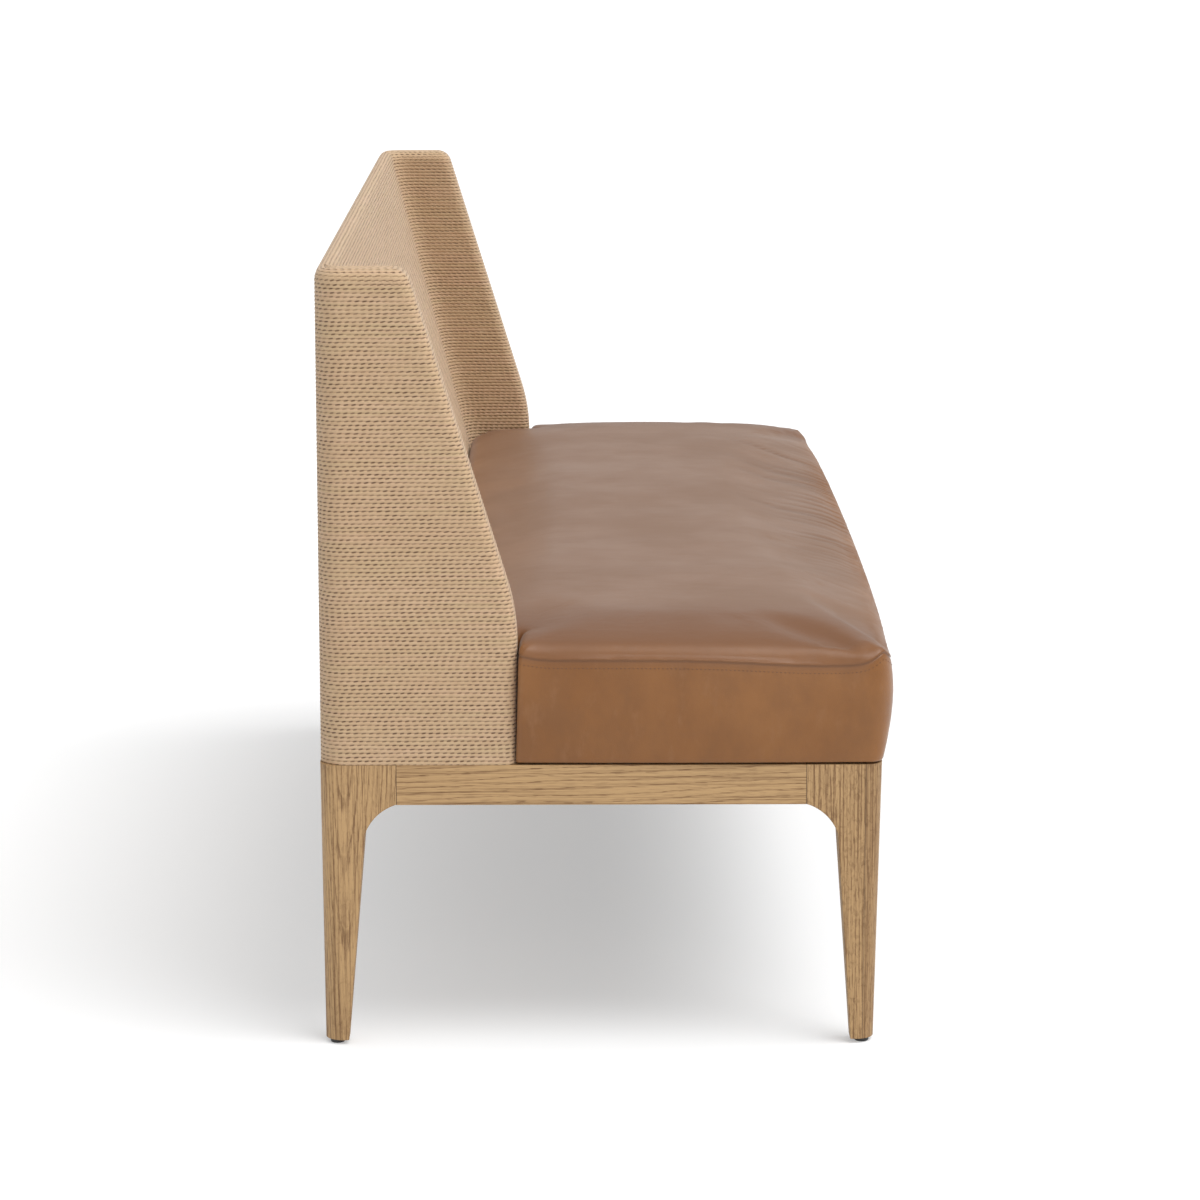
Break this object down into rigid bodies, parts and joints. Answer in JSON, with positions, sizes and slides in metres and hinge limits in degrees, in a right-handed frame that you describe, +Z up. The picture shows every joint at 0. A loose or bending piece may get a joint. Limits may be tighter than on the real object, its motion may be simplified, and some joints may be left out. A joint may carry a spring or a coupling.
{
  "type": "banquette",
  "caption": "Upholstered bench with a crowned leather seat, a cord-wrapped raked back with wings at both ends, and an oak frame on tapered legs.",
  "frame": {"origin": "centre of the bench's bounding box, on the floor", "axes": "+X along the bench's length, the front faces -Y, +Z up"},
  "size_m": [1.62, 0.6401, 0.866],
  "materials": {
    "oak": "light natural oak with a matt lacquer",
    "hardwood": "plain sawn hardwood, unfinished",
    "plywood": "birch plywood, unfinished",
    "zinc_steel": "zinc-plated steel",
    "glide_plastic": "black moulded nylon",
    "seat_leather": "warm brown aniline leather with a soft sheen",
    "foam": "open-cell upholstery foam",
    "dust_cloth": "black non-woven dust cloth",
    "paper_cord": "natural twisted paper cord, wound in close rows"
  },
  "bodies": {
    "root": {"leg_front_left": "oak", "leg_front_right": "oak", "leg_rear_left": "oak", "leg_rear_right": "oak", "apron_front": "oak", "apron_rear": "oak", "apron_left": "oak", "apron_right": "oak", "corner_block_front_left": "hardwood", "corner_block_front_right": "hardwood", "corner_block_rear_left": "hardwood", "corner_block_rear_right": "hardwood", "cross_rail_1": "hardwood", "cross_rail_2": "hardwood", "cross_rail_3": "hardwood", "hanger_bolts": "zinc_steel", "hanger_washers": "zinc_steel", "hanger_nuts": "zinc_steel", "corner_block_screws": "zinc_steel", "seat_screws": "zinc_steel", "back_bolts": "zinc_steel", "back_bolt_sleeves": "zinc_steel", "glides": "glide_plastic", "seat_cover_top": "seat_leather", "seat_cover_boxing": "seat_leather", "seat_foam": "foam", "seat_board": "plywood", "seat_dust_cover": "dust_cloth", "back_rear_panel": "plywood", "back_inner_panel": "plywood", "back_top_rail": "hardwood", "back_bottom_rail": "hardwood", "back_rib_1": "plywood", "back_rib_2": "plywood", "back_rib_3": "plywood", "back_rib_4": "plywood", "back_rib_5": "plywood", "back_cord": "paper_cord", "corner_post_left": "hardwood", "corner_post_right": "hardwood", "wing_outer_panel_left": "plywood", "wing_outer_panel_right": "plywood", "wing_inner_panel_left": "plywood", "wing_inner_panel_right": "plywood", "wing_stile_left": "hardwood", "wing_stile_right": "hardwood", "wing_top_rail_left": "hardwood", "wing_top_rail_right": "hardwood", "wing_bottom_rail_left": "hardwood", "wing_bottom_rail_right": "hardwood", "wing_outer_cord_left": "paper_cord", "wing_outer_cord_right": "paper_cord", "wing_inner_cord_left": "paper_cord", "wing_inner_cord_right": "paper_cord", "wing_edge_cord_left": "paper_cord", "wing_edge_cord_right": "paper_cord"}
  },
  "joints": []
}
